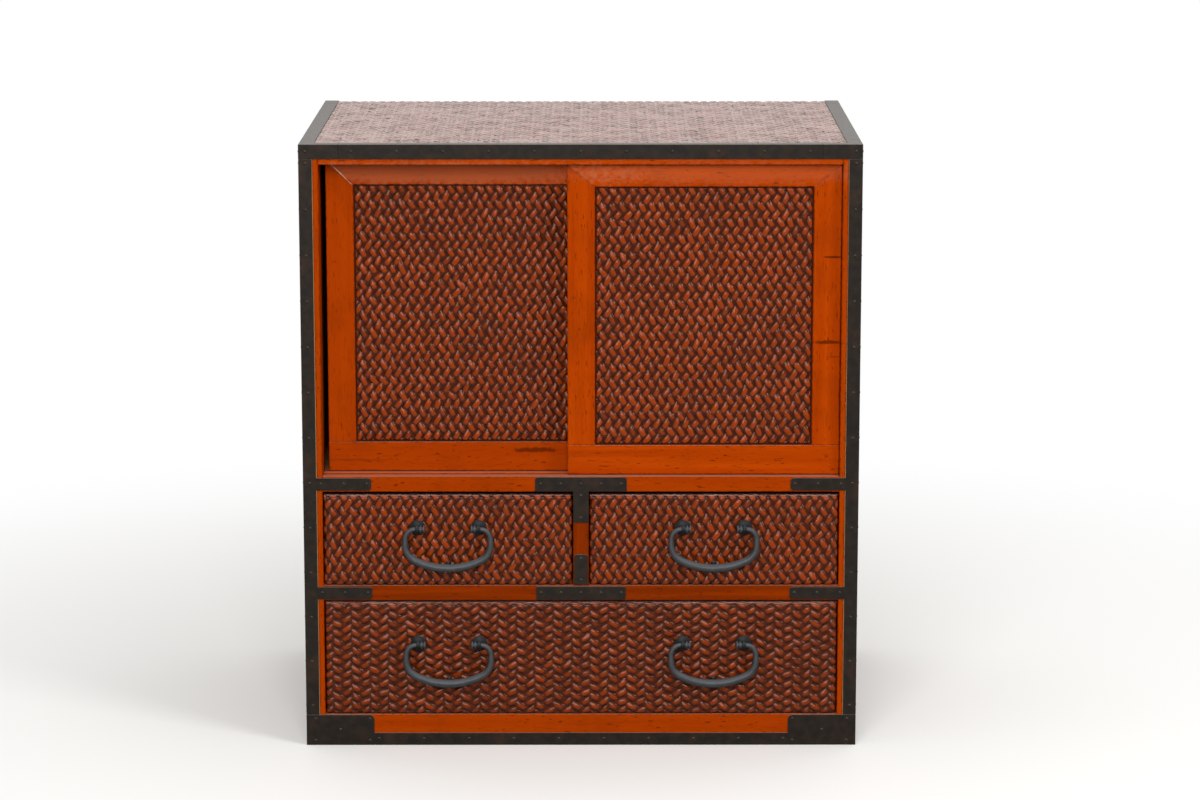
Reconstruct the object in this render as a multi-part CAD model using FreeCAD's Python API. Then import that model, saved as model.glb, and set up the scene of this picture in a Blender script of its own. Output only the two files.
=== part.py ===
import FreeCAD, Part
import math
import os

# A small Japanese chest: a wooden case faced with woven cane mats and edged with nailed iron.
# Two framed doors slide past each other above two small drawers and one wide drawer.
# Millimetres. +Z is up and the front faces -Y. The origin is on the floor, under the middle of the
# footprint with the drawer pulls counted in.

# Case, measured over its iron edging
case_width = 606.0
case_depth = 424.0
case_height = 667.0

# Sheet and board thicknesses
iron_thickness = 1.2
mat_thickness = 1.8
side_thickness = 12.0
top_thickness = 10.0
shelf_thickness = 10.0
back_thickness = 9.0
jamb_thickness = 6.0

# Front rails, from the floor up, and the openings between them
rail_depth = 50.0
bottom_rail_height = 35.0
lower_opening_height = 129.0
mid_rail_height = 17.0
upper_opening_height = 105.0
sill_height = 17.0
head_height = 9.0
post_width = 17.0
dado_depth = 4.0
guide_height = 30.0

# Sliding doors
door_setback = 8.0
door_thickness = 16.0
door_gap = 3.0
door_overlap = 28.0
door_edge_clearance = 0.5
door_foot_clearance = 1.0
door_head_clearance = 1.0
left_door_ajar = 6.0
stile_width = 30.0
door_top_rail_width = 24.0
door_foot_rail_width = 32.0
tongue_thickness = 8.0
tongue_end_setback = 4.0
groove_clearance = 0.5
sill_groove_depth = 4.0
head_groove_depth = 6.0
head_tongue_height = 4.0
running_clearance = 0.3
panel_groove_depth = 6.0
panel_edge_clearance = 0.3
panel_recess = 3.0
backing_thickness = 4.0

# Drawers
drawer_proud = 0.6
drawer_side_clearance = 1.0
upper_drawer_head_gap = 4.0
lower_drawer_head_gap = 2.5
drawer_back_clearance = 0.8
drawer_front_thickness = 14.0
drawer_side_thickness = 9.0
drawer_back_thickness = 8.0
drawer_bottom_thickness = 5.0
drawer_lap = 6.0
drawer_groove_depth = 3.0
drawer_bottom_raise = 4.0
drawer_side_drop = 8.0
mat_edge_radius = 3.6
mat_wrap_depth = 6.0

# Drawer pulls: a bail that hangs in two eye posts, each in a petalled rosette, above a strike stud
pivot_standoff = 9.0
upper_pivot_rise = 14.5
lower_pivot_rise = 17.5
post_spacing = 67.0
bail_half_width = 46.6
bail_drop = 43.7
bail_corner_radius = 20.0
bail_corner_drop = 17.5
bail_end_radius = 2.5
bail_shoulder_radius = 3.0
bail_flank_radius = 3.5
bail_corner_rod_radius = 4.2
bail_middle_radius = 4.6
pin_radius = 2.0
pin_clearance = 0.1
pin_end_play = 0.3
collar_radius = 4.2
collar_width = 1.7
collar_neck_width = 1.6
collar_neck_radius = 2.6
eye_radius = 3.9
eye_width = 2.8
eye_shank_radius = 1.4
clench_radius = 7.0
clench_thickness = 1.5
hole_clearance = 0.1
rosette_radius = 9.0
rosette_height = 3.6
rosette_rim_height = 1.0
petal_count = 12
petal_radius = 2.2
stud_rise = 4.0
stud_shank_radius = 1.6
stud_shank_length = 8.0
stud_neck_height = 1.6
stud_head_radius = 2.9
stud_head_height = 2.9

# Iron edging and straps
edge_iron_width = 16.0
post_iron_width = 14.4
top_corner_length = 43.0
rear_corner_length = 30.0
base_iron_height = 14.0
corner_plate_length = 75.0
corner_plate_height = 34.6
plate_corner_radius = 6.0
end_strap_length = 60.0
end_strap_height = 14.0
strap_corner_radius = 3.5
tee_length = 100.0
tee_height = 16.0
tee_stem_length = 35.0
mid_strap_length = 98.0
mid_strap_height = 15.0
foot_strap_width = 15.0
foot_strap_height = 34.0
foot_strap_lift = 1.0

# Round nail heads in the iron
nail_radius = 1.9
nail_height = 0.8
nail_spacing = 50.0
nail_edge_inset = 5.0

overrun = 5.0

# Planes that the pieces share
half_width = case_width / 2
board_x = half_width - iron_thickness - mat_thickness
side_inner_x = board_x - side_thickness
opening_x = side_inner_x - jamb_thickness
pull_reach = drawer_proud + pivot_standoff + bail_middle_radius - iron_thickness
front_y = (pull_reach - case_depth) / 2
back_y = front_y + case_depth
wood_front_y = front_y + iron_thickness
rail_back_y = wood_front_y + rail_depth
back_inner_y = back_y - back_thickness
lower_floor_z = bottom_rail_height
mid_bottom_z = lower_floor_z + lower_opening_height
upper_floor_z = mid_bottom_z + mid_rail_height
sill_bottom_z = upper_floor_z + upper_opening_height
sill_top_z = sill_bottom_z + sill_height
top_mat_z = case_height - iron_thickness
top_board_top_z = top_mat_z - mat_thickness
top_board_bottom_z = top_board_top_z - top_thickness
head_bottom_z = top_board_bottom_z - head_height
right_door_y = wood_front_y + door_setback
left_door_y = right_door_y + door_thickness + door_gap
door_width = opening_x + door_overlap / 2
drawer_mat_y = wood_front_y - drawer_proud
drawer_front_y = drawer_mat_y + mat_thickness
pivot_y = drawer_mat_y - pivot_standoff

front_direction = FreeCAD.Vector(0, -1, 0)
along_x = FreeCAD.Vector(1, 0, 0)
along_y = FreeCAD.Vector(0, 1, 0)
parts = {}


# Building blocks

def block(x_span, y_span, z_span):
    corner = FreeCAD.Vector(x_span[0], y_span[0], z_span[0])
    return Part.makeBox(x_span[1] - x_span[0], y_span[1] - y_span[0], z_span[1] - z_span[0], corner)


def rounded_front(x_span, y_span, z_span, radius):
    # A block whose front edges are rounded over.
    body = block(x_span, y_span, z_span)
    rim = [edge for edge in body.Edges if edge.BoundBox.YMax < y_span[0] + radius / 2]
    return body.makeFillet(radius, rim)


def mirrored_x(shape):
    return shape.mirror(FreeCAD.Vector(0, 0, 0), along_x)


def rounded_plate(x_span, z_span, radius, rounded_corners):
    # A front-facing iron plate. Rounded corners are named by their x and z ends, such as "right top".
    plate = block(x_span, (front_y, wood_front_y), z_span)
    ends_x = {"left": x_span[0], "right": x_span[1]}
    ends_z = {"bottom": z_span[0], "top": z_span[1]}
    wanted = [(ends_x[c.split()[0]], ends_z[c.split()[1]]) for c in rounded_corners]
    edges = [edge for edge in plate.Edges if edge_runs_through(edge, wanted)]
    return plate.makeFillet(radius, edges)


def edge_runs_through(edge, places):
    a, b = edge.Vertexes[0].Point, edge.Vertexes[1].Point
    tolerance = Part.Precision.confusion()
    same_line = math.hypot(a.x - b.x, a.z - b.z) < tolerance
    return same_line and any(math.hypot(a.x - x, a.z - z) < tolerance for x, z in places)


def front_prism(points, y_span):
    # A flat outline of (x, z) points, pushed back from the first y to the second.
    corners = [FreeCAD.Vector(x, y_span[0], z) for x, z in points]
    face = Part.Face(Part.makePolygon(corners + corners[:1]))
    return face.extrude(along_y * (y_span[1] - y_span[0]))


# Case boards

def make_sides():
    side = block((-board_x, -side_inner_x), (wood_front_y, back_y), (0, top_board_bottom_z))
    for z in (lower_floor_z, upper_floor_z, sill_top_z):
        side = side.cut(make_shelf(z))
    parts["side_left"] = side
    parts["side_right"] = mirrored_x(side)


def make_shelf(top_z):
    reach = side_inner_x + dado_depth
    return block((-reach, reach), (rail_back_y, back_inner_y), (top_z - shelf_thickness, top_z))


def make_boards():
    parts["bottom_board"] = make_shelf(lower_floor_z)
    parts["dust_board"] = make_shelf(upper_floor_z)
    parts["cabinet_floor"] = make_shelf(sill_top_z)
    top_z = (top_board_bottom_z, top_board_top_z)
    parts["top_board"] = block((-board_x, board_x), (wood_front_y, back_y), top_z)
    back_x = (-side_inner_x, side_inner_x)
    parts["back_panel"] = block(back_x, (back_inner_y, back_y), (0, top_board_bottom_z))


def make_front_frame():
    rail_x = (-opening_x, opening_x)
    rail_y = (wood_front_y, rail_back_y)
    parts["bottom_rail"] = block(rail_x, rail_y, (0, lower_floor_z))
    parts["mid_rail"] = block(rail_x, rail_y, (mid_bottom_z, upper_floor_z))
    sill = block(rail_x, rail_y, (sill_bottom_z, sill_top_z))
    head = block(rail_x, rail_y, (head_bottom_z, top_board_bottom_z))
    for door_y in (right_door_y, left_door_y):
        sill = sill.cut(track_groove(door_y, sill_top_z - sill_groove_depth, sill_top_z + overrun))
        head = head.cut(track_groove(door_y, head_bottom_z - overrun, head_bottom_z + head_groove_depth))
    parts["sill_rail"] = sill
    parts["head_rail"] = head
    jamb = block((-side_inner_x, -opening_x), rail_y, (0, top_board_bottom_z))
    parts["jamb_left"] = jamb
    parts["jamb_right"] = mirrored_x(jamb)


def track_groove(door_y, low_z, high_z):
    middle_y = door_y + door_thickness / 2
    half = tongue_thickness / 2 + groove_clearance
    reach = opening_x + overrun
    return block((-reach, reach), (middle_y - half, middle_y + half), (low_z, high_z))


def make_divider():
    post_x = (-post_width / 2, post_width / 2)
    parts["divider_post"] = block(post_x, (wood_front_y, rail_back_y), (upper_floor_z, sill_bottom_z))
    panel_top_z = sill_top_z - shelf_thickness
    parts["divider_panel"] = block(post_x, (rail_back_y, back_inner_y), (upper_floor_z, panel_top_z))


def make_guides():
    # Battens behind the jambs that keep the drawers straight.
    guides = []
    for floor_z in (lower_floor_z, upper_floor_z):
        guide_z = (floor_z, floor_z + guide_height)
        batten = block((-side_inner_x, -opening_x), (rail_back_y, back_inner_y), guide_z)
        guides += [batten, mirrored_x(batten)]
    parts["drawer_guides"] = Part.makeCompound(guides)


def make_case_mats():
    side = block((-board_x - mat_thickness, -board_x), (wood_front_y, back_y), (0, top_board_top_z))
    parts["side_mat_left"] = side
    parts["side_mat_right"] = mirrored_x(side)
    reach = board_x + mat_thickness
    parts["top_mat"] = block((-reach, reach), (wood_front_y, back_y), (top_board_top_z, top_mat_z))


# Sliding doors

def make_door(name, left_x, face_y):
    right_x = left_x + door_width
    foot_z = sill_top_z + door_foot_clearance
    top_z = head_bottom_z - door_head_clearance
    inner_left = left_x + stile_width
    inner_right = right_x - stile_width
    inner_foot = foot_z + door_foot_rail_width
    inner_top = top_z - door_top_rail_width
    depth = (face_y, face_y + door_thickness)
    middle_y = face_y + door_thickness / 2
    tongue_y = (middle_y - tongue_thickness / 2, middle_y + tongue_thickness / 2)
    tongue_x = (left_x + tongue_end_setback, right_x - tongue_end_setback)

    # The stiles stand on the foot rail and meet the top rail in mitres.
    left_stile = front_prism(
        [(left_x, inner_foot), (inner_left, inner_foot), (inner_left, inner_top), (left_x, top_z)], depth)
    right_stile = front_prism(
        [(inner_right, inner_foot), (right_x, inner_foot), (right_x, top_z), (inner_right, inner_top)], depth)
    top_rail = front_prism(
        [(left_x, top_z), (inner_left, inner_top), (inner_right, inner_top), (right_x, top_z)], depth)
    top_rail = top_rail.fuse(block(tongue_x, tongue_y, (top_z, top_z + head_tongue_height)))
    foot_rail = block((left_x, right_x), depth, (foot_z, inner_foot))
    tongue_foot_z = sill_top_z - sill_groove_depth + running_clearance
    foot_rail = foot_rail.fuse(block(tongue_x, tongue_y, (tongue_foot_z, foot_z)))

    # The mat and its backing board sit in a groove that runs round the frame.
    mat_y = face_y + panel_recess
    backing_y = mat_y + mat_thickness
    backing_back_y = backing_y + backing_thickness
    slot_x = (inner_left - panel_groove_depth, inner_right + panel_groove_depth)
    slot_z = (inner_foot - panel_groove_depth, inner_top + panel_groove_depth)
    slot = block(slot_x, (mat_y, backing_back_y), slot_z)
    panel_x = (slot_x[0] + panel_edge_clearance, slot_x[1] - panel_edge_clearance)
    panel_z = (slot_z[0] + panel_edge_clearance, slot_z[1] - panel_edge_clearance)

    parts[name + "_stiles"] = Part.makeCompound([left_stile.cut(slot), right_stile.cut(slot)])
    parts[name + "_rails"] = Part.makeCompound([top_rail.cut(slot), foot_rail.cut(slot)])
    parts[name + "_mat"] = block(panel_x, (mat_y, backing_y), panel_z)
    parts[name + "_backing"] = block(panel_x, (backing_y, backing_back_y), panel_z)


# Drawer pulls

def bail_path_points():
    # Half of the bail's centre line, from its pin to the middle of its grip, as (x, z) from the pivot.
    # The grip is one wide arc that runs tangent into the corner arc.
    start_x = post_spacing / 2 + eye_width / 2 + pin_end_play
    shoulder = bail_half_width - start_x
    corner_x = bail_half_width - bail_corner_radius
    below = bail_drop - bail_corner_drop
    grip_radius = (corner_x ** 2 + below ** 2 - bail_corner_radius ** 2) / (2 * (below - bail_corner_radius))
    grip_centre_z = grip_radius - bail_drop
    corner_centre_z = -bail_corner_drop
    reach = math.hypot(corner_x, grip_centre_z - corner_centre_z)
    out_x = corner_x / reach
    out_z = (corner_centre_z - grip_centre_z) / reach
    join = (grip_radius * out_x, grip_centre_z + grip_radius * out_z)
    corner_angle = math.atan2(-out_z, out_x) / 2
    corner_middle = (corner_x + bail_corner_radius * math.cos(corner_angle),
                     corner_centre_z - bail_corner_radius * math.sin(corner_angle))
    grip_angle = math.asin(out_x) / 2
    grip_middle = (grip_radius * math.sin(grip_angle), grip_centre_z - grip_radius * math.cos(grip_angle))
    half_turn_share = math.sqrt(1 / 2)
    shoulder_middle = (start_x + shoulder * half_turn_share, -shoulder + shoulder * half_turn_share)
    return {"start": (start_x, 0), "shoulder middle": shoulder_middle,
            "shoulder end": (bail_half_width, -shoulder), "flank end": (bail_half_width, -bail_corner_drop),
            "corner middle": corner_middle, "corner end": join,
            "grip middle": grip_middle, "grip centre": (0, -bail_drop)}


def make_bail(centre_x, pivot_z):
    points = {name: FreeCAD.Vector(x, 0, z) for name, (x, z) in bail_path_points().items()}
    shoulder = Part.Arc(points["start"], points["shoulder middle"], points["shoulder end"]).toShape()
    flank = Part.LineSegment(points["shoulder end"], points["flank end"]).toShape()
    corner = Part.Arc(points["flank end"], points["corner middle"], points["corner end"]).toShape()
    grip = Part.Arc(points["corner end"], points["grip middle"], points["grip centre"]).toShape()
    half = make_pin_end(points["start"].x)
    half = half.fuse(tapered_rod(shoulder, bail_end_radius, bail_shoulder_radius))
    half = half.fuse(tapered_rod(flank, bail_shoulder_radius, bail_flank_radius))
    half = half.fuse(tapered_rod(corner, bail_flank_radius, bail_corner_rod_radius))
    half = half.fuse(tapered_rod(grip, bail_corner_rod_radius, bail_middle_radius))
    whole = half.fuse(mirrored_x(half)).removeSplitter()
    whole.translate(FreeCAD.Vector(centre_x, pivot_y, pivot_z))
    return whole


def tapered_rod(line, start_radius, end_radius):
    # A round rod along one line or arc, whose thickness changes evenly.
    rod = Part.BRepOffsetAPI.MakePipeShell(Part.Wire(line))
    for end, radius in ((line.FirstParameter, start_radius), (line.LastParameter, end_radius)):
        rod.add(Part.Wire(Part.makeCircle(radius, line.valueAt(end), line.tangentAt(end))))
    rod.build()
    rod.makeSolid()
    return rod.shape()


def make_pin_end(start_x):
    # The pin that passes through the eye, with two rings turned on its inner end, each behind a neck.
    inner_x = post_spacing / 2 - eye_width / 2 - pin_end_play
    widths = (collar_neck_width, collar_width, collar_neck_width, collar_width)
    radii = (collar_neck_radius, collar_radius, collar_neck_radius, collar_radius)
    end = Part.makeCylinder(pin_radius, start_x - inner_x, FreeCAD.Vector(inner_x, 0, 0), along_x)
    x = inner_x
    for width, radius in zip(widths, radii):
        x -= width
        end = end.fuse(Part.makeCylinder(radius, width, FreeCAD.Vector(x, 0, 0), along_x))
    return end


def make_eye_post(x, pivot_z):
    # The eye holds the bail's pin, and its shank is clenched over behind the drawer front.
    clench_y = drawer_front_y + drawer_front_thickness
    place = FreeCAD.Vector(x, clench_y + clench_thickness, pivot_z)
    shank = Part.makeCylinder(eye_shank_radius, place.y - pivot_y, place, front_direction)
    clench = Part.makeCylinder(clench_radius, clench_thickness, place, front_direction)
    eye_start = FreeCAD.Vector(x - eye_width / 2, pivot_y, pivot_z)
    eye = Part.makeCylinder(eye_radius, eye_width, eye_start, along_x)
    bore_start = eye_start - along_x * overrun
    bore = Part.makeCylinder(pin_radius + pin_clearance, eye_width + 2 * overrun, bore_start, along_x)
    return shank.fuse(clench).fuse(eye).cut(bore)


def make_rosette(x, pivot_z):
    # A domed disc with a ring of petals round its rim.
    base = FreeCAD.Vector(x, drawer_mat_y, pivot_z)
    ring_radius = rosette_radius - petal_radius
    blank_height = rosette_height + overrun
    flower = Part.makeCylinder(ring_radius, blank_height, base, front_direction)
    for n in range(petal_count):
        angle = 2 * math.pi * n / petal_count
        spot = base + FreeCAD.Vector(ring_radius * math.cos(angle), 0, ring_radius * math.sin(angle))
        flower = flower.fuse(Part.makeCylinder(petal_radius, blank_height, spot, front_direction))
    dome_rise = rosette_height - rosette_rim_height
    dome_radius = (rosette_radius ** 2 + dome_rise ** 2) / (2 * dome_rise)
    dome = Part.makeSphere(dome_radius, base - front_direction * (dome_radius - rosette_height))
    hole_start = base - front_direction * overrun
    hole_length = rosette_height + 2 * overrun
    hole = Part.makeCylinder(eye_shank_radius + hole_clearance, hole_length, hole_start, front_direction)
    return flower.common(dome).cut(hole)


def make_stud(x, pivot_z):
    # A round-headed nail that keeps the bail off the weave.
    base = FreeCAD.Vector(x, drawer_mat_y, pivot_z - bail_drop + stud_rise)
    root = base - front_direction * stud_shank_length
    neck = stud_shank_length + stud_neck_height
    shank = Part.makeCylinder(stud_shank_radius, neck, root, front_direction)
    head_base = base + front_direction * stud_neck_height
    return shank.fuse(dome_cap(head_base, front_direction, stud_head_radius, stud_head_height))


def dome_cap(base, direction, radius, height):
    sphere_radius = (radius ** 2 + height ** 2) / (2 * height)
    lowest = math.degrees(math.asin((sphere_radius - height) / sphere_radius))
    centre = base - direction * (sphere_radius - height)
    return Part.makeSphere(sphere_radius, centre, direction, lowest, 90, 360)


def pull_holes(x, pivot_z):
    # Holes through the front and its mat for the two posts and the stud.
    holes = []
    for post_x in (x - post_spacing / 2, x + post_spacing / 2):
        start = FreeCAD.Vector(post_x, drawer_mat_y - overrun, pivot_z)
        length = mat_thickness + drawer_front_thickness + 2 * overrun
        holes.append(Part.makeCylinder(eye_shank_radius + hole_clearance, length, start, along_y))
    start = FreeCAD.Vector(x, drawer_mat_y - overrun, pivot_z - bail_drop + stud_rise)
    length = stud_shank_length + hole_clearance + overrun
    holes.append(Part.makeCylinder(stud_shank_radius + hole_clearance, length, start, along_y))
    return Part.makeCompound(holes)


# Drawers

def make_drawer(name, x_span, z_span, pull_places, pivot_z):
    left_x, right_x = x_span
    foot_z, top_z = z_span
    front_back_y = drawer_front_y + drawer_front_thickness
    back_end_y = back_inner_y - drawer_back_clearance
    side_top_z = top_z - drawer_side_drop
    side_y = (front_back_y - drawer_lap, back_end_y)
    left = block((left_x, left_x + drawer_side_thickness), side_y, (foot_z, side_top_z))
    right = block((right_x - drawer_side_thickness, right_x), side_y, (foot_z, side_top_z))
    inner_x = (left_x + drawer_side_thickness, right_x - drawer_side_thickness)
    back_face_y = back_end_y - drawer_back_thickness
    back = block(inner_x, (back_face_y, back_end_y), (foot_z, side_top_z))
    bottom_z = foot_z + drawer_bottom_raise
    bottom = block((inner_x[0] - drawer_groove_depth, inner_x[1] + drawer_groove_depth),
                   (front_back_y - drawer_groove_depth, back_face_y + drawer_groove_depth),
                   (bottom_z, bottom_z + drawer_bottom_thickness))

    # The mat covers the front board and folds a little way round its edges.
    wrap_end_y = drawer_front_y + mat_wrap_depth
    covered_x = (left_x + mat_thickness, right_x - mat_thickness)
    covered_z = (foot_z + mat_thickness, top_z - mat_thickness)
    covered_radius = mat_edge_radius - mat_thickness
    covered = rounded_front(covered_x, (drawer_front_y, front_back_y), covered_z, covered_radius)
    front = covered.fuse(block(x_span, (wrap_end_y, front_back_y), z_span)).removeSplitter()
    mat = rounded_front(x_span, (drawer_mat_y, wrap_end_y), z_span, mat_edge_radius).cut(covered)
    fittings = []
    for x in pull_places:
        holes = pull_holes(x, pivot_z)
        front = front.cut(holes)
        mat = mat.cut(holes)
        for post_x in (x - post_spacing / 2, x + post_spacing / 2):
            fittings += [make_eye_post(post_x, pivot_z), make_rosette(post_x, pivot_z)]
        fittings.append(make_stud(x, pivot_z))

    parts[name + "_front"] = front.cut(Part.makeCompound([left, right, bottom]))
    parts[name + "_sides"] = Part.makeCompound([left.cut(bottom), right.cut(bottom)])
    parts[name + "_back"] = back.cut(bottom)
    parts[name + "_bottom"] = bottom
    parts[name + "_mat"] = mat
    parts[name + "_pull_posts"] = Part.makeCompound(fittings)


def make_drawers():
    outer_x = opening_x - drawer_side_clearance
    inner_x = post_width / 2 + drawer_side_clearance
    pull_x = (outer_x + inner_x) / 2
    upper_z = (upper_floor_z + running_clearance, sill_bottom_z - upper_drawer_head_gap)
    lower_z = (lower_floor_z + running_clearance, mid_bottom_z - lower_drawer_head_gap)
    upper_pivot_z = (upper_z[0] + upper_z[1]) / 2 + upper_pivot_rise
    lower_pivot_z = (lower_z[0] + lower_z[1]) / 2 + lower_pivot_rise
    make_drawer("left_drawer", (-outer_x, -inner_x), upper_z, (-pull_x,), upper_pivot_z)
    make_drawer("right_drawer", (inner_x, outer_x), upper_z, (pull_x,), upper_pivot_z)
    make_drawer("wide_drawer", (-outer_x, outer_x), lower_z, (-pull_x, pull_x), lower_pivot_z)
    parts["left_drawer_bail"] = make_bail(-pull_x, upper_pivot_z)
    parts["right_drawer_bail"] = make_bail(pull_x, upper_pivot_z)
    parts["wide_drawer_bail_left"] = make_bail(-pull_x, lower_pivot_z)
    parts["wide_drawer_bail_right"] = make_bail(pull_x, lower_pivot_z)


# Iron edging

def front_angle(x_span):
    # Iron bent over the top's front edge.
    upright = block(x_span, (front_y, wood_front_y), (case_height - edge_iron_width, case_height))
    flat = block(x_span, (front_y, front_y + edge_iron_width), (top_mat_z, case_height))
    return upright.fuse(flat)


def side_angle(y_span):
    # Iron bent over the top's left edge.
    upright_z = (case_height - edge_iron_width, case_height)
    upright = block((-half_width, -half_width + iron_thickness), y_span, upright_z)
    flat = block((-half_width, -half_width + edge_iron_width), y_span, (top_mat_z, case_height))
    return upright.fuse(flat)


def make_top_irons():
    corner_x = half_width - top_corner_length
    corner_y = front_y + top_corner_length
    rear_y = back_y - rear_corner_length
    front_corner = front_angle((-half_width, -corner_x)).fuse(side_angle((front_y, corner_y)))
    front_corner = front_corner.removeSplitter()
    rear_corner = side_angle((rear_y, back_y)).removeSplitter()
    side = side_angle((corner_y, rear_y)).removeSplitter()
    parts["top_front_iron"] = front_angle((-corner_x, corner_x)).removeSplitter()
    parts["top_side_irons"] = Part.makeCompound([side, mirrored_x(side)])
    corners = [front_corner, mirrored_x(front_corner), rear_corner, mirrored_x(rear_corner)]
    parts["top_corner_irons"] = Part.makeCompound(corners)


def make_post_irons():
    # Upright angles on the front corners, and flat strips on the sides' rear edges.
    span_z = (corner_plate_height, case_height - edge_iron_width)
    skin_x = (-half_width, -half_width + iron_thickness)
    front = block((-half_width, -half_width + post_iron_width), (front_y, wood_front_y), span_z)
    front = front.fuse(block(skin_x, (front_y, front_y + post_iron_width), span_z)).removeSplitter()
    rear = block(skin_x, (back_y - post_iron_width, back_y), span_z)
    parts["post_irons"] = Part.makeCompound([front, mirrored_x(front), rear, mirrored_x(rear)])


def make_base_irons():
    skin_x = (-half_width, -half_width + iron_thickness)
    plate_x = half_width - corner_plate_length
    front = block((-plate_x, plate_x), (front_y, wood_front_y), (0, base_iron_height))
    plate_span_z = (0, corner_plate_height)
    side_y = (front_y + corner_plate_length, back_y - corner_plate_length)
    side = block(skin_x, side_y, (0, base_iron_height))
    parts["base_irons"] = Part.makeCompound([front, side, mirrored_x(side)])
    plate = rounded_plate((-half_width, -plate_x), plate_span_z, plate_corner_radius, ["right top"])
    plate = plate.fuse(block(skin_x, (front_y, front_y + corner_plate_length), plate_span_z)).removeSplitter()
    rear = block(skin_x, (back_y - corner_plate_length, back_y), plate_span_z)
    parts["base_corner_plates"] = Part.makeCompound([plate, mirrored_x(plate), rear, mirrored_x(rear)])


def strap_span_z(rail_low_z, rail_high_z, height):
    middle = (rail_low_z + rail_high_z) / 2
    return (middle - height / 2, middle + height / 2)


def make_straps():
    outer_x = half_width - post_iron_width
    inner_x = outer_x - end_strap_length
    ends = []
    for low_z, high_z in ((mid_bottom_z, upper_floor_z), (sill_bottom_z, sill_top_z)):
        span_z = strap_span_z(low_z, high_z, end_strap_height)
        inner_corners = ["right top", "right bottom"]
        strap = rounded_plate((-outer_x, -inner_x), span_z, strap_corner_radius, inner_corners)
        ends += [strap, mirrored_x(strap)]
    parts["rail_end_straps"] = Part.makeCompound(ends)

    tee_z = strap_span_z(sill_bottom_z, sill_top_z, tee_height)
    upper_corners = ["left top", "right top"]
    bar = rounded_plate((-tee_length / 2, tee_length / 2), tee_z, strap_corner_radius, upper_corners)
    stem_z = (tee_z[0] - tee_stem_length, tee_z[0])
    stem = block((-post_width / 2, post_width / 2), (front_y, wood_front_y), stem_z)
    parts["sill_tee_strap"] = bar.fuse(stem).removeSplitter()

    mid_z = strap_span_z(mid_bottom_z, upper_floor_z, mid_strap_height)
    mid_x = (-mid_strap_length / 2, mid_strap_length / 2)
    middle = block(mid_x, (front_y, wood_front_y), mid_z)
    foot_low_z = upper_floor_z + foot_strap_lift
    foot_z = (foot_low_z, foot_low_z + foot_strap_height)
    foot_x = (-foot_strap_width / 2, foot_strap_width / 2)
    foot = rounded_plate(foot_x, foot_z, strap_corner_radius, upper_corners)
    parts["divider_straps"] = Part.makeCompound([middle, foot])


# Nails

def even_places(low, high, spacing):
    count = max(1, round((high - low) / spacing))
    return [low + (high - low) * n / count for n in range(count + 1)]


def make_nails():
    front_places = []
    side_places = []
    post_x = half_width - post_iron_width / 2
    post_low_z = corner_plate_height + nail_edge_inset * 2
    post_high_z = case_height - edge_iron_width - nail_edge_inset
    side_columns = (front_y + post_iron_width / 2, back_y - post_iron_width / 2)
    for z in even_places(post_low_z, post_high_z, nail_spacing):
        front_places += [(-post_x, z), (post_x, z)]
        side_places += [(y, z) for y in side_columns]

    edge_z = case_height - edge_iron_width / 2
    front_places += [(x, edge_z) for x in even_places(-post_x, post_x, nail_spacing)]
    side_ends = (front_y + nail_edge_inset, back_y - nail_edge_inset)
    side_places += [(y, edge_z) for y in even_places(*side_ends, nail_spacing)]

    plate_x = half_width - corner_plate_length
    base_z = base_iron_height / 2
    base_end_x = plate_x - nail_edge_inset
    front_places += [(x, base_z) for x in even_places(-base_end_x, base_end_x, nail_spacing)]
    side_low_y = front_y + corner_plate_length + nail_edge_inset
    side_high_y = back_y - corner_plate_length - nail_edge_inset
    side_places += [(y, base_z) for y in even_places(side_low_y, side_high_y, nail_spacing)]

    plate_rows = (nail_edge_inset, corner_plate_height - nail_edge_inset)
    plate_columns = (nail_edge_inset * 2, corner_plate_length - nail_edge_inset)
    plate_spots = [(c, z) for c in plate_columns for z in plate_rows]
    plate_spots.append((corner_plate_length / 2, corner_plate_height / 2))
    for across, z in plate_spots:
        front_places += [(across - half_width, z), (half_width - across, z)]
        side_places += [(front_y + across, z), (back_y - across, z)]

    strap_x = half_width - post_iron_width - nail_edge_inset
    strap_inner_x = strap_x + 2 * nail_edge_inset - end_strap_length
    for rail_z in ((mid_bottom_z + upper_floor_z) / 2, (sill_bottom_z + sill_top_z) / 2):
        for x in even_places(strap_inner_x, strap_x, end_strap_length / 2):
            front_places += [(-x, rail_z), (x, rail_z)]
        for x in even_places(nail_edge_inset - mid_strap_length / 2, mid_strap_length / 2 - nail_edge_inset,
                             mid_strap_length / 4):
            front_places.append((x, rail_z))
    tee_low_z = strap_span_z(sill_bottom_z, sill_top_z, tee_height)[0]
    front_places += [(0, tee_low_z - nail_edge_inset), (0, tee_low_z - tee_stem_length + nail_edge_inset)]
    foot_low_z = upper_floor_z + foot_strap_lift
    front_places += [(0, foot_low_z + nail_edge_inset), (0, foot_low_z + foot_strap_height - nail_edge_inset)]

    heads = [dome_cap(FreeCAD.Vector(x, front_y, z), front_direction, nail_radius, nail_height)
             for x, z in front_places]
    for y, z in side_places:
        head = dome_cap(FreeCAD.Vector(-half_width, y, z), -along_x, nail_radius, nail_height)
        heads += [head, mirrored_x(head)]
    parts["iron_nails"] = Part.makeCompound(heads)


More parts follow.
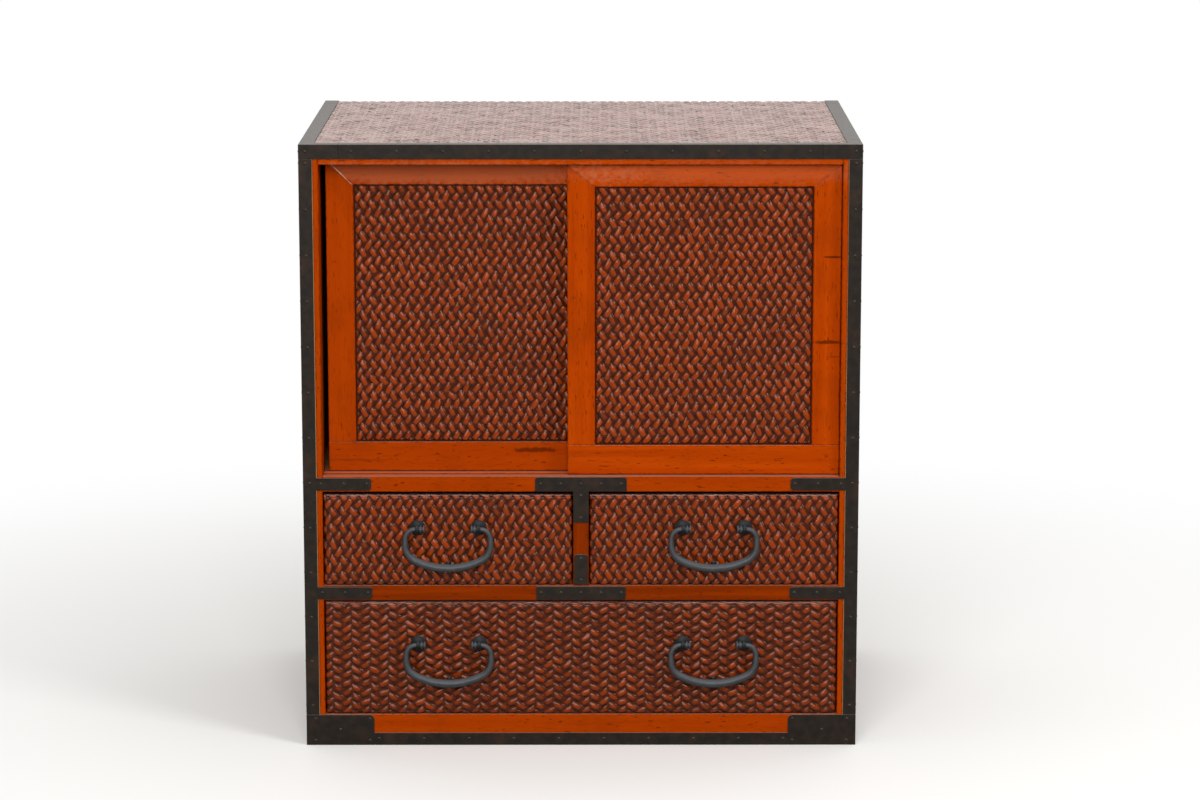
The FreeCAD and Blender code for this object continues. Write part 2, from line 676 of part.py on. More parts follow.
def main():
    make_sides()
    make_boards()
    make_front_frame()
    make_divider()
    make_guides()
    make_case_mats()
    make_door("left_door", left_door_ajar - opening_x, left_door_y)
    make_door("right_door", opening_x - door_edge_clearance - door_width, right_door_y)
    make_drawers()
    make_top_irons()
    make_post_irons()
    make_base_irons()
    make_straps()
    make_nails()
    os.makedirs("parts", exist_ok=True)
    for name, shape in parts.items():
        if not shape.isValid():
            print("not valid:", name)
        shape.exportStep("parts/" + name + ".step")
    print(len(parts), "pieces,", sum(len(shape.Solids) for shape in parts.values()), "solids")


main()
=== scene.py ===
import bmesh
import bpy
import math
import random
from mathutils import Matrix, Vector


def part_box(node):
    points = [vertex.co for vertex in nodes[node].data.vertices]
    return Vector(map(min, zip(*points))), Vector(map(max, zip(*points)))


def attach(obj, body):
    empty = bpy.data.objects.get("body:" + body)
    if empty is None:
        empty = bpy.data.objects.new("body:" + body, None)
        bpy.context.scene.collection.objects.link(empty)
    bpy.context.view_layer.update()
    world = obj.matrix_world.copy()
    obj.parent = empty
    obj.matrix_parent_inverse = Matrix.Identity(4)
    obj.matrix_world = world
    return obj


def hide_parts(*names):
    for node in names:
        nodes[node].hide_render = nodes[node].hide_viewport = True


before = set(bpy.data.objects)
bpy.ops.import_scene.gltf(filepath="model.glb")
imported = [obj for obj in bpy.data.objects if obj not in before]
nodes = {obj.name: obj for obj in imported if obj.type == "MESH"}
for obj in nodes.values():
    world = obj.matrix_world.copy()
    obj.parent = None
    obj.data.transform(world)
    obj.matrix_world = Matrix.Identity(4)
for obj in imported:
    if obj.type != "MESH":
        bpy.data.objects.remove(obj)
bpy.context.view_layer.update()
mm = 0.001
print("frame loaded:", len(nodes), "nodes")


def srgb(hexText):
    parts = [int(hexText[i:i + 2], 16) / 255 for i in (1, 3, 5)]
    return tuple(c / 12.92 if c <= 0.04045 else ((c + 0.055) / 1.055) ** 2.4 for c in parts) + (1.0,)


def addNode(tree, kind, props=None, values=None, links=None):
    node = tree.nodes.new(kind)
    for key, value in (props or {}).items():
        setattr(node, key, value)
    for key, value in (values or {}).items():
        node.inputs[key].default_value = value
    for key, source in (links or {}).items():
        tree.links.new(source, node.inputs[key])
    return node


def inOrder(first, values):
    # values for sockets that follow each other, such as the limits of a range from socket 1 on
    return {first + index: value for index, value in enumerate(values)}


def newObject(name, bm):
    mesh = bpy.data.meshes.new(name)
    bm.to_mesh(mesh)
    bm.free()
    made = bpy.data.objects.new(name, mesh)
    bpy.context.scene.collection.objects.link(made)
    return made


def newMaterial(name):
    material = bpy.data.materials.new(name)
    material.use_nodes = True
    tree = material.node_tree
    return material, tree, tree.nodes["Principled BSDF"]


# Camera, light and floor

# fitted to the chest's corners in the photograph: metres, degrees and the photograph's pixels
cameraSet = {"place": (0.01383, -4.2137, 1.1622), "pitch": 10.93, "turn": 0.10, "focalPixels": 3761.0,
             "photoPixels": 1200, "sensorWidth": 36.0}


def buildCamera():
    data = bpy.data.cameras.new("photoCamera")
    data.sensor_width = cameraSet["sensorWidth"]
    data.lens = cameraSet["focalPixels"] / cameraSet["photoPixels"] * cameraSet["sensorWidth"]
    camera = bpy.data.objects.new("photoCamera", data)
    camera.location = cameraSet["place"]
    camera.rotation_euler = (math.radians(90 - cameraSet["pitch"]), 0, -math.radians(cameraSet["turn"]))
    bpy.context.scene.collection.objects.link(camera)
    bpy.context.scene.camera = camera


def backgroundRays(tree):
    # rays that see the pale background: the camera's own, and what gloss and glass show of it
    path = addNode(tree, "ShaderNodeLightPath")
    seen = path.outputs["Is Camera Ray"]
    for kind in ("Is Glossy Ray", "Is Transmission Ray"):
        either = addNode(tree, "ShaderNodeMath", {"operation": "MAXIMUM"},
                         links={0: seen, 1: path.outputs[kind]})
        seen = either.outputs[0]
    return seen


# sky strengths, and the parts of the way to the back and to the top over which they come in
skySet = {"front": 0.12, "behind": 1.3, "behindSpan": (0.0, 0.6), "above": 0.7, "aboveSpan": (0.15, 0.75),
          "white": 1.0}
# lamps, in metres and watts
lampSet = {"keyLight": {"place": (2.5, -2.3, 2.5), "size": 1.1, "power": 54.0},
           "fillLight": {"place": (-0.4, -4.4, 2.0), "size": 2.4, "power": 160.0}}
lampAim = (0, 0, 0.35)  # about the chest's middle


def buildSky():
    world = bpy.data.worlds.new("studioWorld")
    bpy.context.scene.world = world
    world.use_nodes = True
    tree = world.node_tree
    tree.nodes.clear()
    # white as a background; as a light it is bright above and behind, and dim on the side of the camera
    way = addNode(tree, "ShaderNodeTexCoord").outputs["Generated"]
    way = addNode(tree, "ShaderNodeSeparateXYZ", links={0: way})
    toBack = addNode(tree, "ShaderNodeMapRange", {"interpolation_type": "SMOOTHSTEP"},
                     inOrder(1, skySet["behindSpan"]), {0: way.outputs["Y"]})
    toTop = addNode(tree, "ShaderNodeMapRange", {"interpolation_type": "SMOOTHSTEP"},
                    inOrder(1, skySet["aboveSpan"]), {0: way.outputs["Z"]})
    light = addNode(tree, "ShaderNodeMix", {"data_type": "FLOAT"}, {2: skySet["front"], 3: skySet["behind"]},
                    {0: toBack.outputs[0]})
    light = addNode(tree, "ShaderNodeMix", {"data_type": "FLOAT"}, {3: skySet["above"]},
                    {0: toTop.outputs[0], 2: light.outputs[0]})
    strength = addNode(tree, "ShaderNodeMix", {"data_type": "FLOAT"}, {3: skySet["white"]},
                       {0: backgroundRays(tree), 2: light.outputs[0]})
    sky = addNode(tree, "ShaderNodeBackground", values={"Color": (1, 1, 1, 1)},
                  links={"Strength": strength.outputs[0]})
    addNode(tree, "ShaderNodeOutputWorld", links={"Surface": sky.outputs[0]})


def buildLamps():
    for name, look in lampSet.items():
        lamp = bpy.data.lights.new(name, "AREA")
        lamp.size = look["size"]
        lamp.energy = look["power"]
        lampObject = bpy.data.objects.new(name, lamp)
        lampObject.location = look["place"]
        aim = Vector(lampAim) - Vector(look["place"])
        lampObject.rotation_euler = aim.to_track_quat("-Z", "Y").to_euler()
        bpy.context.scene.collection.objects.link(lampObject)


# metres from the chest's middle where the floor starts to fade, and where it is white
floorLook = {"seen": "#f4f3f0", "thrownBack": "#6f6a62", "half": 14.0, "fade": (0.3, 1.5), "roughness": 0.9,
             "white": 1.0}


def buildFloor():
    bm = bmesh.new()
    bmesh.ops.create_grid(bm, x_segments=1, y_segments=1, size=floorLook["half"])
    floor = newObject("studioFloor", bm)
    # plain matt paint, pale to the camera and fading into the white backdrop; what it throws back at the
    # chest is dim
    paint, tree, shader = newMaterial("paintedFloor")
    shader.inputs["Roughness"].default_value = floorLook["roughness"]
    shader.inputs["Specular IOR Level"].default_value = 0.0
    seen = backgroundRays(tree)
    colour = addNode(tree, "ShaderNodeMix", {"data_type": "RGBA"},
                     {6: srgb(floorLook["thrownBack"]), 7: srgb(floorLook["seen"])}, {0: seen})
    tree.links.new(colour.outputs[2], shader.inputs["Base Color"])
    place = addNode(tree, "ShaderNodeTexCoord").outputs["Object"]
    far = addNode(tree, "ShaderNodeVectorMath", {"operation": "LENGTH"}, links={0: place})
    fade = addNode(tree, "ShaderNodeMapRange", {"interpolation_type": "SMOOTHSTEP"},
                   inOrder(1, floorLook["fade"]), {0: far.outputs["Value"]})
    share = addNode(tree, "ShaderNodeMath", {"operation": "MULTIPLY"}, links={0: fade.outputs[0], 1: seen})
    white = addNode(tree, "ShaderNodeEmission", values={"Strength": floorLook["white"]})
    both = addNode(tree, "ShaderNodeMixShader",
                   links={0: share.outputs[0], 1: shader.outputs[0], 2: white.outputs[0]})
    tree.links.new(both.outputs[0], tree.nodes["Material Output"].inputs["Surface"])
    floor.data.materials.append(paint)


# Materials: sizes in millimetres; a span is the two levels of its pattern between which a layer comes in,
# and where it has four numbers, the layer's strength at each

def grainScale(axis, along, across):
    # pattern repeats per metre, long with the grain and fine across it
    return tuple(1 / (along * mm) if letter == axis else 1 / (across * mm) for letter in "XYZ")


wornEdge = {"samples": 4, "span": (1.0, 0.86, 0.0, 1.0)}


def edgeMask(tree, radius):
    # one on worn edges and nothing on flat faces
    rounded = addNode(tree, "ShaderNodeBevel", {"samples": wornEdge["samples"]}, {"Radius": radius * mm})
    plain = addNode(tree, "ShaderNodeNewGeometry")
    along = addNode(tree, "ShaderNodeVectorMath", {"operation": "DOT_PRODUCT"},
                    links={0: rounded.outputs[0], 1: plain.outputs["Normal"]})
    return addNode(tree, "ShaderNodeMapRange", values=inOrder(1, wornEdge["span"]),
                   links={0: along.outputs["Value"]}).outputs[0]


dustAndSheenFade = 0.4  # from bare to dusty and sheened, as a change in how far a face looks up


def dustAndSheenMask(tree, most, level):
    # dust lies on faces that look up, and with it a painted sheen that stands for the sky's reflection; level
    # is how far they must
    normal = addNode(tree, "ShaderNodeNewGeometry").outputs["Normal"]
    up = addNode(tree, "ShaderNodeSeparateXYZ", links={0: normal}).outputs["Z"]
    return addNode(tree, "ShaderNodeMapRange", {"interpolation_type": "SMOOTHSTEP"},
                   inOrder(1, (level, level + dustAndSheenFade, 0.0, most)), {0: up}).outputs[0]


# marks by grain: middle x and z, half length and half height in millimetres, slant in degrees, strength
# and shade
# the hazy marks are painted haze: lighter, greyer bands on the door tops, where light and the sky's reflection
# fall
marks = {"Z": (((272, 543.5), (10, 1.1), 0, 0.85, "pore"), ((268, 450), (15, 2.0), 0, 0.8, "pore"),
               ((275, 434), (8, 0.8), 0, 0.4, "pore"), ((-260.5, 633), (17, 0.45), 45, 0.9, "rubbed"),
               ((155, 636), (160, 12), 0, 0.2, "hazy")),
         "X": (((-51, 327), (24, 2.6), 0, 0.75, "pore"), ((-240, 316), (34, 1.6), 0, 0.3, "pore"),
               ((-150, 634), (190, 13), 0, 0.4, "hazy"), ((155, 636), (160, 12), 0, 0.2, "hazy"),
               ((-260.5, 633), (17, 0.45), 45, 0.9, "rubbed"))}
markEdge = {"ragged": 1.6, "span": (1.5, 2.1)}


def markMask(tree, place, ragged, spot, half, slant, strength):
    # one mark with ragged ends, that lies on the front
    middle = Vector((spot[0] * mm, 0, spot[1] * mm))
    shifted = addNode(tree, "ShaderNodeVectorMath", {"operation": "SUBTRACT"}, {1: middle}, {0: place})
    turned = addNode(tree, "ShaderNodeVectorRotate", {"rotation_type": "Y_AXIS"},
                     {"Angle": -math.radians(slant)},
                     {"Vector": shifted.outputs[0]})
    sized = addNode(tree, "ShaderNodeVectorMath", {"operation": "MULTIPLY"},
                    {1: (1 / (half[0] * mm), 0, 1 / (half[1] * mm))}, {0: turned.outputs[0]})
    far = addNode(tree, "ShaderNodeVectorMath", {"operation": "LENGTH"}, links={0: sized.outputs[0]})
    edge = addNode(tree, "ShaderNodeMath", {"operation": "MULTIPLY_ADD"}, {1: markEdge["ragged"]},
                   {0: ragged, 2: far.outputs["Value"]})
    return addNode(tree, "ShaderNodeMapRange", values=inOrder(1, (*markEdge["span"], strength, 0.0)),
                   links={0: edge.outputs[0]}).outputs[0]


lacquerLook = {
    "base": "#b04002", "deep": "#a03601", "pore": "#491703", "worn": "#742703", "sheen": "#d0703a",
    "dustAndSheen": "#b98a72", "hazy": "#b86a48", "rubbed": "#d2b4a6",
    "poreLength": 16, "poreWidth": 0.5, "poreSpan": (0.6, 0.74, 0.0, 0.55),
    "poreDepth": 0.12, "poreBump": 0.35,
    "nickLength": 9, "nickWidth": 1.6, "nickSpan": (0.68, 0.74, 0.0, 0.75),
    "streakLength": 220, "streakWidth": 9, "streakSpan": (0.35, 0.68), "wearSpan": (0.3, 0.7, 1.5, 0.5),
    "cloud": 55, "dirtSpan": (0.52, 0.8, 0.0, 0.45),
    "chip": 5, "chipSpan": (0.44, 0.58, 0.1, 1.0), "edge": 2.4,
    "dustAndSheenMost": 0.5, "dustAndSheenLevel": 0.4, "roughness": (0.32, 0.5), "specular": 0.1}


def urushiLacquer(axis):
    # Lacquer brushed over softwood and rubbed down: satin red-orange, with fine dark pores that follow
    # the grain and darker edges where hands and dirt have worn it.
    look = lacquerLook
    material, tree, shader = newMaterial("urushiLacquer" + axis)
    place = addNode(tree, "ShaderNodeTexCoord").outputs["Object"]
    grain = {}
    for name, detail in (("pore", 2.0), ("nick", 1.0), ("streak", 4.0)):
        scale = grainScale(axis, look[name + "Length"], look[name + "Width"])
        sized = addNode(tree, "ShaderNodeMapping", values={"Scale": scale}, links={"Vector": place})
        grain[name] = addNode(tree, "ShaderNodeTexNoise", values={"Scale": 1.0, "Detail": detail},
                              links={"Vector": sized.outputs[0]}).outputs[0]
    cloud = addNode(tree, "ShaderNodeTexNoise", values={"Scale": 1 / (look["cloud"] * mm), "Detail": 3.0},
                    links={"Vector": place}).outputs[0]
    chips = addNode(tree, "ShaderNodeTexNoise", values={"Scale": 1 / (look["chip"] * mm), "Detail": 4.0},
                    links={"Vector": place}).outputs[0]
    mask = {}
    for name, source in (("pore", grain["pore"]), ("nick", grain["nick"]), ("streak", grain["streak"]),
                         ("wear", grain["streak"]), ("dirt", cloud), ("chip", chips)):
        mask[name] = addNode(tree, "ShaderNodeMapRange", values=inOrder(1, look[name + "Span"]),
                             links={0: source}).outputs[0]
    edges = addNode(tree, "ShaderNodeMath", {"operation": "MULTIPLY"},
                    links={0: edgeMask(tree, look["edge"]), 1: mask["chip"]})
    # each timber's share of darkening, laid on in streaks of the worn colour
    wear = addNode(tree, "ShaderNodeAttribute", {"attribute_name": "wear"}).outputs["Fac"]
    uneven = addNode(tree, "ShaderNodeMath", {"operation": "MULTIPLY"}, links={0: wear, 1: mask["wear"]})
    colour = addNode(tree, "ShaderNodeMix", {"data_type": "RGBA"},
                     {6: srgb(look["base"]), 7: srgb(look["deep"])}, {0: mask["streak"]}).outputs[2]
    layers = [(uneven.outputs[0], "worn"), (mask["nick"], "pore"), (mask["dirt"], "worn"),
              (mask["pore"], "pore"), (edges.outputs[0], "pore")]
    # marks: scuffs and rubbed lines, and the painted haze on the door tops
    layers += [(markMask(tree, place, chips, *mark[:-1]), mark[-1]) for mark in marks[axis]]
    # pale dust with a painted sky sheen on faces that look up
    layers.append((dustAndSheenMask(tree, look["dustAndSheenMost"], look["dustAndSheenLevel"]), "dustAndSheen"))
    for layer, shadeName in layers:
        colour = addNode(tree, "ShaderNodeMix", {"data_type": "RGBA"}, {7: srgb(look[shadeName])},
                         {0: layer, 6: colour}).outputs[2]
    rough = addNode(tree, "ShaderNodeMapRange", values=inOrder(3, look["roughness"]), links={0: cloud})
    bump = addNode(tree, "ShaderNodeBump", {"invert": True},
                   {"Strength": look["poreBump"], "Distance": look["poreDepth"] * mm},
                   {"Height": grain["pore"]})
    for name, source in (("Base Color", colour), ("Roughness", rough.outputs[0]),
                         ("Normal", bump.outputs[0])):
        tree.links.new(source, shader.inputs[name])
    shader.inputs["Specular IOR Level"].default_value = look["specular"]
    shader.inputs["Specular Tint"].default_value = srgb(look["sheen"])
    return material


drawerEdgeLook = {"dark": "#2a0f06", "light": "#4d1d0a", "cloud": 9, "roughness": (0.4, 0.6)}


def gapShadeLacquer():
    # The thick dark lacquer on the edges of the drawer fronts, painted near black so that it also gives the
    # shade in the gaps round the drawers: deep brown-red, uneven and dull.
    look = drawerEdgeLook
    material, tree, shader = newMaterial("gapShadeLacquer")
    place = addNode(tree, "ShaderNodeTexCoord").outputs["Object"]
    cloud = addNode(tree, "ShaderNodeTexNoise", values={"Scale": 1 / (look["cloud"] * mm), "Detail": 4.0},
                    links={"Vector": place}).outputs[0]
    colour = addNode(tree, "ShaderNodeMix", {"data_type": "RGBA"},
                     {6: srgb(look["dark"]), 7: srgb(look["light"])}, {0: cloud})
    rough = addNode(tree, "ShaderNodeMapRange", values=inOrder(3, look["roughness"]), links={0: cloud})
    tree.links.new(colour.outputs[2], shader.inputs["Base Color"])
    tree.links.new(rough.outputs[0], shader.inputs["Roughness"])
    return material


boardLook = {"light": "#a9835a", "dark": "#7c5836", "ringWidth": 7, "ringLength": 420, "ringWave": 0.6,
             "fibreWidth": 0.7, "fibreLength": 30, "fibreShare": 0.35, "grainSpan": (0.36, 0.64),
             "grainDepth": 0.15, "grainBump": 0.3, "roughness": (0.62, 0.8)}


def planedSoftwood(axis):
    # Planed cedar boards, bare and aged: dull tan, with soft growth rings and fine fibres.
    look = boardLook
    material, tree, shader = newMaterial("planedSoftwood" + axis)
    place = addNode(tree, "ShaderNodeTexCoord").outputs["Object"]
    grain = {}
    for name, detail, wave in (("ring", 3.0, look["ringWave"]), ("fibre", 2.0, 0.0)):
        scale = grainScale(axis, look[name + "Length"], look[name + "Width"])
        sized = addNode(tree, "ShaderNodeMapping", values={"Scale": scale}, links={"Vector": place})
        grain[name] = addNode(tree, "ShaderNodeTexNoise",
                              values={"Scale": 1.0, "Detail": detail, "Distortion": wave},
                              links={"Vector": sized.outputs[0]}).outputs[0]
    both = addNode(tree, "ShaderNodeMix", {"data_type": "FLOAT"}, {0: look["fibreShare"]},
                   {2: grain["ring"], 3: grain["fibre"]})
    mask = addNode(tree, "ShaderNodeMapRange", values=inOrder(1, look["grainSpan"]),
                   links={0: both.outputs[0]})
    colour = addNode(tree, "ShaderNodeMix", {"data_type": "RGBA"},
                     {6: srgb(look["light"]), 7: srgb(look["dark"])}, {0: mask.outputs[0]})
    rough = addNode(tree, "ShaderNodeMapRange", values=inOrder(3, look["roughness"]),
                    links={0: grain["ring"]})
    bump = addNode(tree, "ShaderNodeBump",
                   values={"Strength": look["grainBump"], "Distance": look["grainDepth"] * mm},
                   links={"Height": both.outputs[0]})
    for name, source in (("Base Color", colour.outputs[2]), ("Roughness", rough.outputs[0]),
                         ("Normal", bump.outputs[0])):
        tree.links.new(source, shader.inputs[name])
    return material


# sheet iron for the edging and straps, forged for the bails, chased for their posts
ironLook = {"dentSpan": (0.35, 0.65), "dentDepth": 0.5, "dentBump": 0.5,
            "pitSpan": (0.3, 0.7), "pitDepth": 0.1, "pitBump": 0.3,
            "rustPatch": 26, "rustSpan": (0.55, 0.75, 0.0, 0.6), "edgeWidth": 0.7, "edgeShare": 0.5,
            "grimeAndShade": "#060504", "grimeAndShadeSpan": (0.2, 0.75, 0.9, 0.0), "dustAndSheenMost": 0.45, "dustAndSheenLevel": 0.4,
            "coatRoughness": 0.2}
ironKinds = {
    "blackenedSheetIron": {"black": "#15100b", "brown": "#211912", "rust": "#38241a", "edge": "#4a3f37",
                           "dustAndSheen": "#8d8780", "grimeAndShadeReach": 1.5, "dent": 9, "pit": 1.1, "roughness": (0.36, 0.55),
                           "specular": 0.1, "coat": 0.08},
    # the forged iron's blue-grey black, edges and dust are tinted as a painted reflection of a bluish sky
    "skyTintedForgedIron": {"black": "#1a1d20", "brown": "#25292d", "rust": "#2c241e", "edge": "#3d4247",
                            "dustAndSheen": "#5c6268", "grimeAndShadeReach": 5, "dent": 7, "pit": 0.8, "roughness": (0.42, 0.52),
                            "specular": 0.45, "coat": 0.0},
    "blackenedChasedIron": {"black": "#0c0c0d", "brown": "#141516", "rust": "#1c1613", "edge": "#34383c",
                            "dustAndSheen": "#4a4e52", "grimeAndShadeReach": 6, "dent": 7, "pit": 0.8, "roughness": (0.42, 0.52),
                            "specular": 0.15, "coat": 0.0}}


def blackenedIron(name):
    # Hammered iron, blackened with lacquer and smoke: satin black, shallow dents, small pits, a little rust
    # and brighter rubbed edges, with grime and painted shade darkening its hollows.
    look = {**ironLook, **ironKinds[name]}
    material, tree, shader = newMaterial(name)
    place = addNode(tree, "ShaderNodeTexCoord").outputs["Object"]
    pattern = {}
    for part, detail in (("dent", 1.5), ("pit", 3.0), ("rustPatch", 5.0)):
        pattern[part] = addNode(tree, "ShaderNodeTexNoise",
                                values={"Scale": 1 / (look[part] * mm), "Detail": detail},
                                links={"Vector": place}).outputs[0]
    tone = addNode(tree, "ShaderNodeMapRange", values=inOrder(1, look["dentSpan"]),
                   links={0: pattern["dent"]})
    rust = addNode(tree, "ShaderNodeMapRange", values=inOrder(1, look["rustSpan"]),
                   links={0: pattern["rustPatch"]})
    edges = addNode(tree, "ShaderNodeMath", {"operation": "MULTIPLY"}, {1: look["edgeShare"]},
                    {0: edgeMask(tree, look["edgeWidth"])})
    # painted shade, with grime: the colour goes nearly black where ambient occlusion finds hollows and nearby
    # parts
    crevice = addNode(tree, "ShaderNodeAmbientOcclusion", {"samples": 4}, {"Distance": look["grimeAndShadeReach"] * mm})
    grimeAndShade = addNode(tree, "ShaderNodeMapRange", values=inOrder(1, look["grimeAndShadeSpan"]),
                   links={0: crevice.outputs["AO"]})
    colour = addNode(tree, "ShaderNodeMix", {"data_type": "RGBA"},
                     {6: srgb(look["black"]), 7: srgb(look["brown"])}, {0: tone.outputs[0]}).outputs[2]
    # the pale layer on faces that look up is dust with a painted sky sheen
    for mask, shadeName in ((rust.outputs[0], "rust"), (edges.outputs[0], "edge"), (grimeAndShade.outputs[0], "grimeAndShade"),
                            (dustAndSheenMask(tree, look["dustAndSheenMost"], look["dustAndSheenLevel"]), "dustAndSheen")):
        colour = addNode(tree, "ShaderNodeMix", {"data_type": "RGBA"}, {7: srgb(look[shadeName])},
                         {0: mask, 6: colour}).outputs[2]
    rough = addNode(tree, "ShaderNodeMapRange", values=inOrder(1, look["pitSpan"] + look["roughness"]),
                    links={0: pattern["pit"]})
    dented = addNode(tree, "ShaderNodeBump",
                     values={"Strength": look["dentBump"], "Distance": look["dentDepth"] * mm},
                     links={"Height": pattern["dent"]})
    bump = addNode(tree, "ShaderNodeBump",
                   values={"Strength": look["pitBump"], "Distance": look["pitDepth"] * mm},
                   links={"Height": pattern["pit"], "Normal": dented.outputs[0]})
    for socket, source in (("Base Color", colour), ("Roughness", rough.outputs[0]),
                           ("Normal", bump.outputs[0])):
        tree.links.new(source, shader.inputs[socket])
    shader.inputs["Specular IOR Level"].default_value = look["specular"]
    shader.inputs["Coat Weight"].default_value = look["coat"]
    shader.inputs["Coat Roughness"].default_value = look["coatRoughness"]
    return material


# crown width and length are the shares of a splint that are rubbed down to the orange, and the reaches say how
# much its fibres, its own tone and handling wear move that patch's edge
splintLook = {
    # gap is the colour of the painted shade along the splints' edges
    "gap": "#250c03", "flank": "#471803", "crown": "#812d01", "pale": "#933702", "dustAndSheen": "#b8958a",
    "sheen": "#c4a08c",
    "crownWidth": 0.44, "crownLength": 0.52, "crownPower": 4.0, "crownSpan": (-0.5, 0.75),
    "fibreReach": 1.4, "toneReach": 1.8, "wearReach": 1.0, "wearPatch": 70, "rimShadeSpan": (0.05, 0.16, 1.0, 0.0),
    "fibreCount": 10, "fibreLengths": 1.6, "fibreDepth": 0.12, "fibreBump": 0.3,
    "dustAndSheenPatch": 24, "dustAndSheenSpan": (0.36, 0.62, 0.4, 1.25), "dustAndSheenMost": 0.62, "dustAndSheenLevel": 0.58,
    "roughness": (0.15, 0.24), "specular": 0.21, "coat": 0.13, "coatRoughness": 0.12}


def lacqueredSplint():
    # Split bamboo, stained and lacquered after weaving: fine fibres along each splint, rubbed orange-brown
    # on the crowns and dark brown where the splints dive under each other, with a nearly black painted shade
    # along their edges.
    look = splintLook
    material, tree, shader = newMaterial("lacqueredSplint")
    tone = addNode(tree, "ShaderNodeAttribute", {"attribute_name": "tone"}).outputs["Fac"]
    flat = addNode(tree, "ShaderNodeUVMap", {"uv_map": "splint"}).outputs[0]
    place = addNode(tree, "ShaderNodeTexCoord").outputs["Object"]
    fibreMap = addNode(tree, "ShaderNodeMapping",
                       values={"Scale": (look["fibreCount"], look["fibreLengths"], 1.0)},
                       links={"Vector": flat})
    shifted = addNode(tree, "ShaderNodeVectorMath", {"operation": "ADD"},
                      links={0: fibreMap.outputs[0], 1: tone})
    fibres = addNode(tree, "ShaderNodeTexNoise", values={"Scale": 1.0, "Detail": 3.0},
                     links={"Vector": shifted.outputs[0]}).outputs[0]
    wear = addNode(tree, "ShaderNodeTexNoise", values={"Scale": 1 / (look["wearPatch"] * mm), "Detail": 2.0},
                   links={"Vector": place}).outputs[0]
    # how far a spot is rubbed: each pattern moves it up or down, and it falls away past the crown's shares
    middle = 1 - (look["fibreReach"] + look["toneReach"] + look["wearReach"]) / 2
    level = addNode(tree, "ShaderNodeMath", {"operation": "MULTIPLY_ADD"}, {1: look["fibreReach"], 2: middle},
                    {0: fibres}).outputs[0]
    for source, reach in ((tone, look["toneReach"]), (wear, look["wearReach"])):
        level = addNode(tree, "ShaderNodeMath", {"operation": "MULTIPLY_ADD"}, {1: reach},
                        {0: source, 2: level}).outputs[0]
    across = addNode(tree, "ShaderNodeSeparateXYZ", links={0: flat})
    for axis, share in (("X", look["crownWidth"]), ("Y", look["crownLength"])):
        offset = addNode(tree, "ShaderNodeMath", {"operation": "MULTIPLY_ADD"}, {1: 2 / share, 2: -1 / share},
                         {0: across.outputs[axis]})
        outside = addNode(tree, "ShaderNodeMath", {"operation": "POWER"}, {1: look["crownPower"]},
                          {0: offset.outputs[0]})
        level = addNode(tree, "ShaderNodeMath", {"operation": "SUBTRACT"},
                        links={0: level, 1: outside.outputs[0]}).outputs[0]
    crown = addNode(tree, "ShaderNodeMapRange", values=inOrder(1, look["crownSpan"]),
                    links={0: level}).outputs[0]
    # painted shade: a nearly black line along each splint's long edges, where it meets its neighbours
    rim = addNode(tree, "ShaderNodeMath", {"operation": "PINGPONG"}, {1: 0.5}, {0: across.outputs["X"]})
    dark = addNode(tree, "ShaderNodeMapRange", values=inOrder(1, look["rimShadeSpan"]), links={0: rim.outputs[0]})
    # dust with a painted sky sheen on faces that look up, laid on in patches
    dustAndSheenCloud = addNode(tree, "ShaderNodeTexNoise",
                        values={"Scale": 1 / (look["dustAndSheenPatch"] * mm), "Detail": 5.0},
                        links={"Vector": place})
    patchy = addNode(tree, "ShaderNodeMapRange", values=inOrder(1, look["dustAndSheenSpan"]),
                     links={0: dustAndSheenCloud.outputs[0]})
    dustAndSheen = addNode(tree, "ShaderNodeMath", {"operation": "MULTIPLY"},
                   links={0: dustAndSheenMask(tree, look["dustAndSheenMost"], look["dustAndSheenLevel"]), 1: patchy.outputs[0]})
    rubbed = addNode(tree, "ShaderNodeMix", {"data_type": "RGBA"},
                     {6: srgb(look["crown"]), 7: srgb(look["pale"])}, {0: fibres})
    colour = addNode(tree, "ShaderNodeMix", {"data_type": "RGBA"}, {6: srgb(look["flank"])},
                     {0: crown, 7: rubbed.outputs[2]}).outputs[2]
    for mask, shadeName in ((dark.outputs[0], "gap"), (dustAndSheen.outputs[0], "dustAndSheen")):
        colour = addNode(tree, "ShaderNodeMix", {"data_type": "RGBA"}, {7: srgb(look[shadeName])},
                         {0: mask, 6: colour}).outputs[2]
    rough = addNode(tree, "ShaderNodeMapRange", values=inOrder(3, look["roughness"]), links={0: crown})
    bump = addNode(tree, "ShaderNodeBump",
                   values={"Strength": look["fibreBump"], "Distance": look["fibreDepth"] * mm},
                   links={"Height": fibres})
    for name, source in (("Base Color", colour), ("Roughness", rough.outputs[0]),
                         ("Normal", bump.outputs[0])):
        tree.links.new(source, shader.inputs[name])
    shader.inputs["Specular IOR Level"].default_value = look["specular"]
    shader.inputs["Specular Tint"].default_value = srgb(look["sheen"])
    shader.inputs["Coat Weight"].default_value = look["coat"]
    shader.inputs["Coat Roughness"].default_value = look["coatRoughness"]
    return material


backingLook = {"dark": "#361408", "light": "#4c1e0c", "dustAndSheen": "#a58a80", "cloud": 6, "dustAndSheenMost": 0.6,
               "dustAndSheenLevel": 0.58, "roughness": 0.85, "specular": 0.1}


